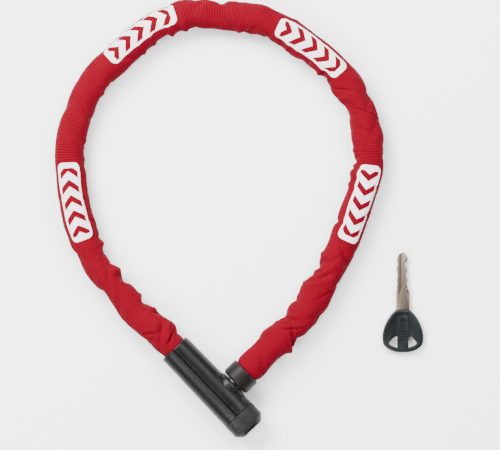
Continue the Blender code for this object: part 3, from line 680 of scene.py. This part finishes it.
def makeEndCap(s):
    last = s["capEnd"]
    slope = last - s["chamfer"]
    small = 1 - s["chamfer"] / s["half"]
    stations = [(s["capStart"], 0.972), (s["capStart"] + 0.4 * mm, 1.0), (slope - 0.5 * mm, 1.0)]
    stations += [(slope - 0.1 * mm, 0.994), (slope + 0.3 * mm, 0.972)]
    stations += [(last - 0.5 * mm, small + 0.036), (last - 0.15 * mm, small + 0.008)]
    stations += [(last, small - 0.02)]
    rings = [bodyRing(x, scale, s) for x, scale in stations]
    cap = meshObject("endCap", loft("endCap", rings), "cap_plastic")
    cavity = [(0, s["cavity"]), (last - 3.2 * mm - s["capStart"] + 2 * mm, s["cavity"])]
    boolean(cap, turnedRod("capCavity", (s["capStart"] - 2 * mm, 0, 0), (1, 0, 0), cavity, 96))
    boolean(cap, block("capFlat", (70, -30, -30), (95, 30, -13.0)))
    boolean(cap, block("keyhole", (86, -5.2, -1.8), (93, 5.2, 1.8)))
    boolean(cap, block("shutterSlot", (88.5, -6.3, -5.0), (90.1, 6.3, 25)))
    boolean(cap, block("shutterWindow", (89.8, -4.7, -5.0), (93.4, 4.7, 26)))
    softEdges(cap, s["edge"] * 0.6)
    return cap


# The sliding cover of the keyway, in mm along, across and above the body's axis
shutterShape = {
    "back": 88.8,
    "front": 89.8,
    "padFront": 90.7,
    "half": 6.0,
    "padHalf": 4.4,
    "low": -4.7,
    "high": 9.3,
    "notches": (3.4, 5.2, 7.0),
    "notchRadius": 0.55,
    "notchHalf": 3.2,
    "edge": 0.12 * mm,
}


def makeShutter(s):
    tongue = block("keywayShutter", (s["back"], -s["half"], s["low"]), (s["front"], s["half"], s["high"]))
    shutter = meshObject("keywayShutter", tongue, "shutter_plastic")
    middle = (s["back"] + s["front"]) / 2
    pad = block("pad", (middle, -s["padHalf"], s["low"]), (s["padFront"], s["padHalf"], s["high"]))
    boolean(shutter, pad, "UNION")
    radius = s["notchRadius"] * mm
    for z in s["notches"]:
        start = ((s["padFront"] + 0.2) * mm, -s["notchHalf"] * mm, z * mm)
        profile = [(0, radius), (2 * s["notchHalf"] * mm, radius)]
        boolean(shutter, turnedRod("notch", start, (0, 1, 0), profile, 24))
    softEdges(shutter, s["edge"])
    return shutter


# The collar's section: distance along the bolt and radius, in mm
collarShape = [(15.9, 6.3), (15.9, 11.2), (16.0, 11.4), (17.1, 12.45), (17.4, 12.65), (17.8, 12.75)]
collarShape += [(18.4, 12.8), (28.2, 12.8), (28.5, 12.75), (28.75, 12.6), (29.1, 12.2), (29.2, 11.9)]
collarShape += [(29.2, 10.9), (29.05, 10.6), (28.7, 10.4), (17.0, 10.4), (17.0, 6.3)]


# A turned cup round the bolt, closed into a ring by joining its last row to its first
def makeCollar():
    work = bmesh.new()
    rows = []
    x = bodyShape["boltX"]
    for a in angles(112):
        across, up = math.cos(a) * mm, math.sin(a) * mm
        rows.append([work.verts.new((x + across * r, d * mm, up * r)) for d, r in collarShape])
    for one, other in zip(rows, rows[1:] + rows[:1]):
        for i in range(len(one)):
            k = (i + 1) % len(one)
            work.faces.new((one[i], one[k], other[k], other[i]))
    bmesh.ops.recalc_face_normals(work, faces=work.faces)
    mesh = bpy.data.meshes.new("collarCup")
    work.to_mesh(mesh)
    work.free()
    return meshObject("collarCup", mesh, "collar_plastic")


finish(makeCover("coverRight", 1, bodyShape), "lock_body", ["cover_right"], "cover_plastic")
finish(makeCover("coverLeft", -1, bodyShape), "lock_body", ["cover_left"], "cover_plastic")
finish(makeEndCap(bodyShape), "lock_body", ["end_cap"], "cap_plastic")
finish(makeShutter(shutterShape), "keyway_cover", ["keyway_cover"], "shutter_plastic")
finish(makeCollar(), "chain_end", ["collar"], "collar_plastic", smooth=50)
print("lock body made")


keyFrame = Matrix.Translation(loopCentre + Vector((148.6, -136.0, 3.0)) * mm)
keyShape = {
    "bladeHalf": 1.2,
    "grooveHalf": 0.75,
    "bladeEdge": 0.14 * mm,
    "rimRows": ((1.3, 3.0), (0.45, 2.6), (0.0, 1.6)),
    "fieldInset": 2.6,
    "fieldHalf": 2.65,
    "barWide": 3.9,
    "barEnds": (9.0, -11.2),
    "barHalf": 2.98,
    "ribHalf": 2.78,
    "ribWide": 2.4,
    "ribTop": 6.9,
    "ribPitch": 2.5,
    "ribCount": 7,
    "pocket": ((-5.7, 11.6, -1.5), (5.7, 30, 1.5)),
    "bowEdge": 0.18 * mm,
}
# Outlines in mm from the bow's middle: the blade's two edges, half of the bow, and one window
bladeRight = [(5.4, 12.0), (5.4, 32.2), (4.3, 33.2), (3.6, 34.6), (3.7, 36.6), (2.9, 38.6)]
bladeRight += [(3.6, 40.6), (3.6, 43.0), (2.5, 45.2), (3.4, 47.8), (3.3, 51.2), (1.5, 54.2)]
bladeRight += [(3.6, 57.0), (3.5, 60.6), (2.4, 62.2), (0.2, 64.3)]
bladeLeft = [(-0.6, 64.4), (-1.0, 63.4), (-3.3, 62.3), (-4.2, 60.0), (-4.9, 57.0), (-3.9, 54.4)]
bladeLeft += [(-4.9, 51.6), (-4.3, 45.2), (-4.9, 41.0), (-4.5, 38.6), (-4.9, 36.0), (-4.9, 33.2)]
bladeLeft += [(-5.4, 32.4), (-5.4, 12.0)]
bowSide = [(5.6, 17.3), (9.3, 13.8), (12.8, 8.6), (15.4, 2.6), (16.6, -3.6)]
bowSide += [(16.4, -9.0), (14.9, -12.2), (10.6, -15.4), (5.4, -17.0), (0.0, -17.4)]
bowWindow = [(4.5, -4.2), (7.0, -5.0), (9.5, -7.2), (11.2, -10.3), (8.0, -12.5), (4.5, -13.6)]


# A smooth line through the points, ends kept
def curveThrough(points, steps):
    points = [Vector(p) for p in points]
    padded = [2 * points[0] - points[1], *points, 2 * points[-1] - points[-2]]
    line = []
    for a, b, c, d in zip(padded, padded[1:], padded[2:], padded[3:]):
        for i in range(steps):
            t = i / steps
            squared = (2 * a - 5 * b + 4 * c - d) * t * t
            cubed = (3 * b - a - 3 * c + d) * t**3
            line.append(b + ((c - a) * t + squared + cubed) / 2)
    return line + [points[-1]]


def plate(name, outline, low, high):
    return loft(name, [[Vector((p[0], p[1], z)) * mm for p in outline] for z in (low, high)])


# Reversible wave cuts on both edges, a long groove on each face and two tapering run-outs
def makeBlade(s):
    tip = curveThrough(bladeRight[2:], 4) + curveThrough(bladeLeft[:-2], 4)
    outline = [Vector(p) for p in bladeRight[:2]] + tip + [Vector(p) for p in bladeLeft[-2:]]
    body = plate("keyBlade", outline, -s["bladeHalf"], s["bladeHalf"])
    blade = meshObject("keyBlade", body, "key_nickel")
    for side in (1, -1):
        floor, top = sorted((side * s["grooveHalf"], side * 3))
        long = [(-3.1, 70), (-3.1, 31.6), (-2.7, 29.4), (-1.7, 33.4), (-0.9, 35.4), (-0.9, 70)]
        boolean(blade, plate("longGroove", long, floor, top))
        short = [(2.0, 36.4), (4.2, 29.6), (4.6, 31.0), (4.6, 34.0), (3.4, 36.4)]
        boolean(blade, plate("shortGroove", short, floor, top))
    softEdges(blade, s["bladeEdge"], 2, 30)
    return blade


# The outline moved inwards by an amount, for points in order round it
def insetLine(outline, amount):
    moved = []
    count = len(outline)
    area = sum(a.x * b.y - b.x * a.y for a, b in zip(outline, outline[1:] + outline[:1]))
    for i, point in enumerate(outline):
        along = (outline[(i + 1) % count] - outline[i - 1]).normalized()
        inward = Vector((-along.y, along.x)) * (1 if area > 0 else -1)
        moved.append(point + inward * amount)
    return moved


# A moulded grip: bevelled rim, sunk faces, a raised bar with plain finger ribs, two ring windows
def makeBow(s):
    right = curveThrough(bowSide, 5)
    outline = [Vector((p.x, p.y)) for p in right[:-1]] + [Vector((-p.x, p.y)) for p in reversed(right)]
    rows = []
    rimRows = [(inset, -z) for inset, z in s["rimRows"]] + list(reversed(s["rimRows"]))
    for inset, z in rimRows:
        line = insetLine(outline, inset) if inset else outline
        rows.append([Vector((p.x, p.y, z)) * mm for p in line])
    bow = meshObject("keyBow", loft("keyBow", rows), "key_plastic")
    field = insetLine(outline, s["fieldInset"])
    for low, high in ((s["fieldHalf"], 6), (-6, -s["fieldHalf"])):
        boolean(bow, plate("field", field, low, high))
    bar = []
    for centreY, start in zip(s["barEnds"], (0, 180)):
        turns = [math.radians(start + k * 15) for k in range(13)]
        bar += [Vector((s["barWide"] * math.cos(a), centreY + s["barWide"] * math.sin(a))) for a in turns]
    for low, high in ((2.2, s["barHalf"]), (-s["barHalf"], -2.2)):
        boolean(bow, plate("bar", bar, low, high), "UNION")
    for side in (1, -1):
        window = [Vector((side * p.x, p.y)) for p in curveThrough(bowWindow, 4)]
        boolean(bow, plate("window", window, -5, 5))
    for k in range(s["ribCount"]):
        y = s["ribTop"] - k * s["ribPitch"]
        for low, high in ((s["ribHalf"], 4), (-4, -s["ribHalf"])):
            boolean(bow, block("fingerRib", (-s["ribWide"], y - 0.5, low), (s["ribWide"], y + 0.5, high)))
    boolean(bow, block("bladePocket", *s["pocket"]))
    softEdges(bow, s["bowEdge"], 2, 30)
    return bow


finish(makeBlade(keyShape), "key", ["key_blade"], "key_nickel", 30, keyFrame)
finish(makeBow(keyShape), "key", ["key_bow"], "key_plastic", 30, keyFrame)
print("key made")


# The chain's route from the mouth, round the loop and back to the collar, in mm from the loop's middle
chainRoute = [(-46.9, -139.3), (-61, -126.5), (-76.5, -110.5), (-92, -92.5), (-104.5, -73.5)]
chainRoute += [(-112.5, -52.5), (-118, -31.5), (-121, -10.5), (-122, 10.5), (-118, 31.5)]
chainRoute += [(-110.5, 51.5), (-99.5, 69.5), (-84.5, 84.5), (-69, 98.5), (-52, 109.5)]
chainRoute += [(-32, 117.5), (-10.5, 121), (10.5, 120), (31.5, 116), (51, 108), (68.5, 98)]
chainRoute += [(84.5, 84.5), (99.5, 69.5), (110.5, 51.5), (117.5, 31.5), (120.5, 10.5)]
chainRoute += [(118.5, -10.5), (113, -30.5), (106.5, -49.5), (98, -69), (88, -89), (75.5, -110)]
chainRoute += [(59, -131.5), (37.5, -152.6)]

sleeve = {
    "halfWidth": 12.0,
    "halfHeight": 10.5,
    "floorHeight": 10.5,
    "rise": 80.0,
    "start": 9.0,
    "mouth": 14.3,
    "collar": 771.8,
    "step": 0.5,
    "around": 80,
    "ribPitch": 2.0,
    "ribDepth": 0.24,
    "flatWidth": 34.0,
}
# Folds in the outline: place along the sleeve, how far out, how long, all in mm
outerFolds = [(57, 0.6, 7), (81, -2.4, 13), (115, -1.6, 7), (140, 0.8, 12), (181, 0.3, 10)]
outerFolds += [(213, 0.3, 8), (234, -0.8, 8), (330, 1.6, 9), (352, 2.4, 11), (382, -2.9, 8)]
outerFolds += [(414, 2.0, 7), (435, 0.0, 8), (460, -1.1, 11), (503, 0.7, 7), (342, -0.7, 2.5)]
outerFolds += [(371, 1.0, 3.0), (397, -0.8, 2.6), (441, 0.6, 2.5), (566, -0.6, 2.4), (519, -1.4, 7)]
outerFolds += [(551, 1.1, 6), (577, 1.1, 8), (662, -0.9, 13), (692, 1.5, 10), (707, 1.2, 5)]
outerFolds += [(724, -2.6, 4.5), (734, 1.9, 3.0), (746, -0.9, 6)]
innerFolds = [(19.5, -2.6, 2.4), (28, 1.4, 5.0), (57, -2.5, 6), (69, 0.4, 6), (82, -2.8, 7)]
innerFolds += [(108, -2.5, 9), (140, 0.9, 14), (181, 0.7, 9), (250, -0.8, 10), (47, 1.2, 2.5)]
innerFolds += [(63, 1.0, 2.2), (92, 1.6, 3.0), (100, -1.4, 2.2), (120, 1.0, 2.5), (126, -0.9, 2.0)]
innerFolds += [(194, 0.8, 2.6), (257, 0.9, 2.4), (270, -0.8, 2.0), (309, 1.2, 2.2), (321, 1.4, 2.0)]
innerFolds += [(338, 1.8, 2.2), (346, -1.8, 2.4), (352, 2.2, 2.4), (361, -1.0, 2.0)]
innerFolds += [(400, 1.0, 2.4), (426, -1.2, 2.0), (444, 1.3, 2.6), (481, 1.6, 2.2)]
innerFolds += [(493, -1.2, 2.0), (513, 1.6, 2.4), (530, -0.8, 2.0), (561, 1.0, 2.2)]
innerFolds += [(577, -1.4, 1.8), (592, 1.0, 2.2), (625, -1.0, 2.0), (655, 1.4, 2.4)]
innerFolds += [(674, -1.2, 2.2), (683, 1.2, 2.0), (700, -1.6, 2.4), (331, -4.2, 11), (356, -2.6, 9)]
innerFolds += [(387, 0.4, 7), (419, -1.0, 7), (453, 2.3, 10), (486, -1.7, 5), (503, 1.8, 7)]
innerFolds += [(524, -1.8, 7), (550, 1.0, 7), (571, -1.6, 4), (582, 1.7, 5), (612, 1.0, 9)]
innerFolds += [(634, 1.1, 8), (667, -2.8, 7), (688, 2.0, 8), (706, 0.6, 4), (717, -2.2, 4.0)]
innerFolds += [(737, 2.3, 9), (752, -0.6, 4)]
# Creases: place along, place round in degrees from the outside over the top, lean,
# reach in degrees, depth, width
creases = [
    (22, 125, 5, 60, 1.9, 1.6), (27, 145, 7, 45, 1.5, 1.8), (36, 60, -9, 50, 1.0, 2.4),
    (30, 100, 9, 60, 1.3, 3.2), (44, 150, -8, 50, 1.1, 3.5), (58, 178, 6, 75, 2.0, 3.0),
    (70, 60, 10, 55, 0.9, 4.0), (83, 170, -7, 80, 1.9, 3.6), (84, 15, 8, 50, 1.3, 4.0),
    (98, 120, 12, 60, 0.9, 4.5), (111, 165, 8, 80, 2.0, 3.2), (117, 20, -9, 55, 1.1, 3.8),
    (150, 150, 10, 40, 0.7, 4.5), (205, 165, -6, 45, 0.8, 4.0), (238, 30, 9, 50, 0.8, 4.5),
    (262, 165, 5, 55, 1.0, 3.4), (290, 60, -12, 50, 0.7, 4.8), (318, 160, -10, 60, 1.2, 3.8),
    (332, 175, 6, 80, 2.2, 3.4), (346, 150, 9, 60, 1.3, 3.6), (364, 60, -10, 60, 0.9, 4.4),
    (383, 15, 7, 70, 2.0, 3.2), (388, 120, 10, 60, 1.2, 4.0), (408, 160, -8, 60, 1.3, 3.6),
    (430, 90, 13, 55, 0.8, 4.6), (442, 170, 6, 60, 1.2, 3.4), (466, 165, -8, 55, 1.0, 3.6),
    (487, 170, 6, 75, 1.9, 2.8), (492, 70, -11, 50, 0.9, 4.2), (515, 165, -7, 70, 1.6, 3.0),
    (521, 25, 8, 60, 1.3, 3.4), (545, 60, 12, 45, 0.6, 4.8), (570, 170, 5, 70, 1.9, 2.4),
    (591, 150, -9, 50, 0.9, 3.8), (622, 160, 8, 45, 0.8, 4.0), (649, 60, -10, 60, 0.9, 4.2),
    (665, 168, 7, 85, 2.4, 3.0), (673, 110, 12, 60, 1.4, 3.6), (696, 165, -8, 55, 1.0, 3.6),
    (701, 40, 9, 50, 0.9, 4.0), (727, 35, -7, 75, 2.6, 1.8), (718, 140, 6, 70, 1.9, 1.9),
    (722, 88, 12, 50, 1.2, 2.2), (744, 165, 6, 50, 0.8, 3.6), (757, 70, -9, 50, 0.8, 3.4),
]


def smoothStep(value):
    value = np.clip(value, 0.0, 1.0)
    return value * value * (3 - 2 * value)


# Evenly spaced stations every half millimetre along the chain's centre line: places and directions
def chainLine():
    ends = chainJoints[0], chainJoints[-1]
    between = [Vector((x, y, 0)) * mm + loopCentre for x, y in chainRoute]
    flat = [Vector((p.x, p.y)) for p in (ends[0], *between, ends[1])]
    line = np.array([tuple(p) for p in curveThrough(flat, 24)]) / mm
    walked = np.concatenate([[0], np.cumsum(np.linalg.norm(np.diff(line, axis=0), axis=1))])
    places = np.arange(sleeve["start"], walked[-1] - 0.4, sleeve["step"])
    x = np.interp(places, walked, line[:, 0])
    y = np.interp(places, walked, line[:, 1])
    inner = np.minimum(places, walked[-1] - places)
    z = 13.0 + (sleeve["floorHeight"] - 13.0) * smoothStep((inner - 25.0) / sleeve["rise"])
    ahead = np.stack([np.gradient(x), np.gradient(y)], axis=1)
    ahead /= np.linalg.norm(ahead, axis=1)[:, None]
    kernel = np.hanning(25) / np.hanning(25).sum()
    padded = np.pad(ahead, ((12, 12), (0, 0)), mode="edge")
    ahead = np.stack([np.convolve(padded[:, k], kernel, mode="valid") for k in (0, 1)], axis=1)
    ahead /= np.linalg.norm(ahead, axis=1)[:, None]
    return places, np.stack([x, y, z], axis=1), ahead


def edgeLine(places, folds):
    width = np.full(len(places), sleeve["halfWidth"])
    for centre, amount, spread in folds:
        width = width + amount * np.exp(-(((places - centre) / spread) ** 2))
    tuck = smoothStep((places - sleeve["mouth"] + 1.0) / 12.0)
    width = width * tuck + 10.6 * (1 - tuck)
    tuck = smoothStep((sleeve["collar"] + 1.0 - places) / 7.0)
    width = width * tuck + 10.1 * (1 - tuck)
    deep = smoothStep((sleeve["mouth"] - places) / 4.0)
    return width - 0.9 * deep


# How far the straight line of links lies outside the smooth centre line at each station, in mm
def linkShift(centre, ahead):
    joints = np.array([tuple(p.xy) for p in chainJoints]) / mm
    start, run = joints[:-1], np.diff(joints, axis=0)
    off = centre[:, None, :2] - start[None]
    share = np.clip((off * run).sum(axis=2) / (run * run).sum(axis=1), 0, 1)
    near = start[None] + share[:, :, None] * run[None] - centre[:, None, :2]
    best = near[np.arange(len(centre)), np.argmin(np.linalg.norm(near, axis=2), axis=1)]
    return best[:, 1] * ahead[:, 0] - best[:, 0] * ahead[:, 1]


# The sleeve's surface as rows of stations, each a ring from the outside, over the top and round
def sleeveGrid():
    places, centre, ahead = chainLine()
    turns = np.linspace(0, 2 * np.pi, sleeve["around"], endpoint=False)
    s, a = np.meshgrid(places, turns, indexing="ij")
    cosine, sine = np.cos(a), np.sin(a)
    outer = edgeLine(places, outerFolds)[:, None]
    inner = edgeLine(places, innerFolds)[:, None]
    side = np.where(cosine > 0, outer, inner) * np.sign(cosine) * np.abs(cosine) ** 0.94
    average = (outer + inner) / 2
    tall = sleeve["halfHeight"] * (0.72 + 0.28 * np.clip(average / sleeve["halfWidth"], 0.8, 1.2))
    ends = np.minimum(places - sleeve["mouth"], sleeve["collar"] - places)[:, None]
    loose = smoothStep((ends + 1.0) / 10.0)
    tall = tall * loose + np.minimum(average, 10.3) * (1 - loose)
    up = tall * np.sign(sine) * np.abs(sine) ** 0.92
    push = np.zeros_like(s)
    for place, turn, lean, reach, depth, width in creases:
        off = np.angle(np.exp(1j * (a - np.radians(turn))))
        across = (s - place - lean * off) / width
        window = np.cos(np.clip(off / np.radians(reach), -1, 1) * np.pi / 2) ** 2
        valley = np.exp(-np.abs(across) ** 1.3 * 1.4)
        ridge = np.exp(-(((across - 1.6) / 0.9) ** 2)) + 0.7 * np.exp(-(((across + 1.7) / 1.0) ** 2))
        push += depth * window * (0.50 * ridge - 1.25 * valley)
    ripple = np.sin(s / 9.3 + 2.1 * np.sin(a + s / 61.0)) * np.sin(2 * a + s / 37.0)
    fine = np.sin(s / 3.7 + 3.0 * np.sin(a * 2 + s / 23.0)) * np.sin(3 * a + s / 17.0)
    push += (0.42 * ripple + 0.16 * fine) * loose
    phase = s / 8.0 + 1.7 * np.sin(a + s / 47.0) + 0.8 * np.sin(s / 29.0)
    patch = smoothStep(0.5 + 0.9 * np.sin(a + s / 19.0) * np.sin(s / 31.0 + 1.0))
    push -= 0.85 * np.exp(-((np.sin(phase) / 0.24) ** 2)) * patch * loose
    rib = np.abs(np.sin(np.pi * (s + 0.25 * fine) / sleeve["ribPitch"])) ** 0.8
    push += sleeve["ribDepth"] * (rib - 0.6)
    push *= 0.25 + 0.75 * loose
    side = side + push * cosine
    up = up + push * sine
    # The cloth is held off the straight links inside it, which reach furthest at the diagonals
    shift = linkShift(centre, ahead)[:, None]
    reach = np.hypot(side - shift, up)
    least = 8.4 + 1.5 * np.sin(2 * np.arctan2(up, side - shift)) ** 2
    least = least * (0.9 + 0.1 * loose)
    held = least + np.log1p(np.exp(2.5 * (reach - least))) / 2.5
    side = shift + (side - shift) * held / reach
    up = up * held / reach
    z = centre[:, 2][:, None] + up
    # The underside flattens smoothly towards the floor
    lowest, soft = 0.35, 0.8
    high = z - lowest
    z = lowest + np.where(high > soft, high, soft * np.exp(np.minimum(high - soft, 0) / soft))
    x = centre[:, 0][:, None] - ahead[:, 1][:, None] * side
    y = centre[:, 1][:, None] + ahead[:, 0][:, None] * side
    return places, np.stack([x, y, z], axis=2) * mm


def gridNormals(grid):
    along = np.gradient(grid, axis=0)
    padded = np.concatenate([grid[:, -1:], grid, grid[:, :1]], axis=1)
    around = (padded[:, 2:] - padded[:, :-2]) / 2
    normal = np.cross(around, along)
    return normal / np.linalg.norm(normal, axis=2)[:, :, None]


# One stretch of the sleeve, with the whole sleeve's normals and its UV map in metres
def tubePiece(name, grid, normals, places, first, last):
    count = grid.shape[1]
    rows = last - first + 1
    points = grid[first : last + 1].reshape(-1, 3)
    i, k = np.meshgrid(np.arange(rows - 1), np.arange(count), indexing="ij")
    after = (k + 1) % count
    here, there = i * count, (i + 1) * count
    faces = np.stack([here + k, here + after, there + after, there + k], axis=2)
    mesh = bpy.data.meshes.new(name)
    mesh.from_pydata([tuple(p) for p in points], [], [tuple(f) for f in faces.reshape(-1, 4).tolist()])
    layer = mesh.uv_layers.new(name="sleeve")
    length = places[first : last + 1] * mm
    # V is zero on the top of the sleeve and grows towards the outside
    girth = 2 * sleeve["flatWidth"] * mm
    u0, u1 = length[i], length[i + 1]
    v0 = girth * (0.25 - k / count)
    v1 = girth * (0.25 - (k + 1) / count)
    uv = np.stack([np.stack(pair, 2) for pair in ((u0, v0), (u0, v1), (u1, v1), (u1, v0))], axis=2)
    layer.data.foreach_set("uv", uv.reshape(-1).astype(np.float32))
    mesh.shade_smooth()
    kept = normals[first : last + 1].reshape(-1, 3)
    mesh.normals_split_custom_set_from_vertices([tuple(n) for n in kept])
    return mesh


# One tube, cut into pieces at the middle of each link but the first
def makeSleeve():
    places, grid = sleeveGrid()
    normals = gridNormals(grid)
    rowCentres = grid.mean(axis=1)[:, :2]
    stops = [0]
    for a, b in zip(chainJoints[1:], chainJoints[2:]):
        stops.append(int(np.argmin(np.linalg.norm(rowCentres - np.array(((a + b) / 2).xy), axis=1))))
    stops.append(len(places) - 1)
    for k, (first, last) in enumerate(zip(stops, stops[1:]), start=1):
        name = f"sleeve{k:02d}"
        piece = bpy.data.objects.new(name, tubePiece(name, grid, normals, places, first, last))
        bpy.context.scene.collection.objects.link(piece)
        piece.data.materials.append(finishes["sleeve_textile"])
        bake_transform(piece)
        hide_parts(f"sleeve_{min(8, (k - 1) // 3) + 1:02d}")


makeSleeve()
print("sleeve made")


slotOf = {row["node"]: row["material_slot"] for row in frame["record"]["subparts"]}
for nodeName, node in frame["nodes"].items():
    node.data.materials.clear()
    node.data.materials.append(finishes[slotOf[nodeName]])
    node.data.shade_smooth()
    node.data.set_sharp_from_angle(angle=math.radians(35))
print("carried-over pieces finished")
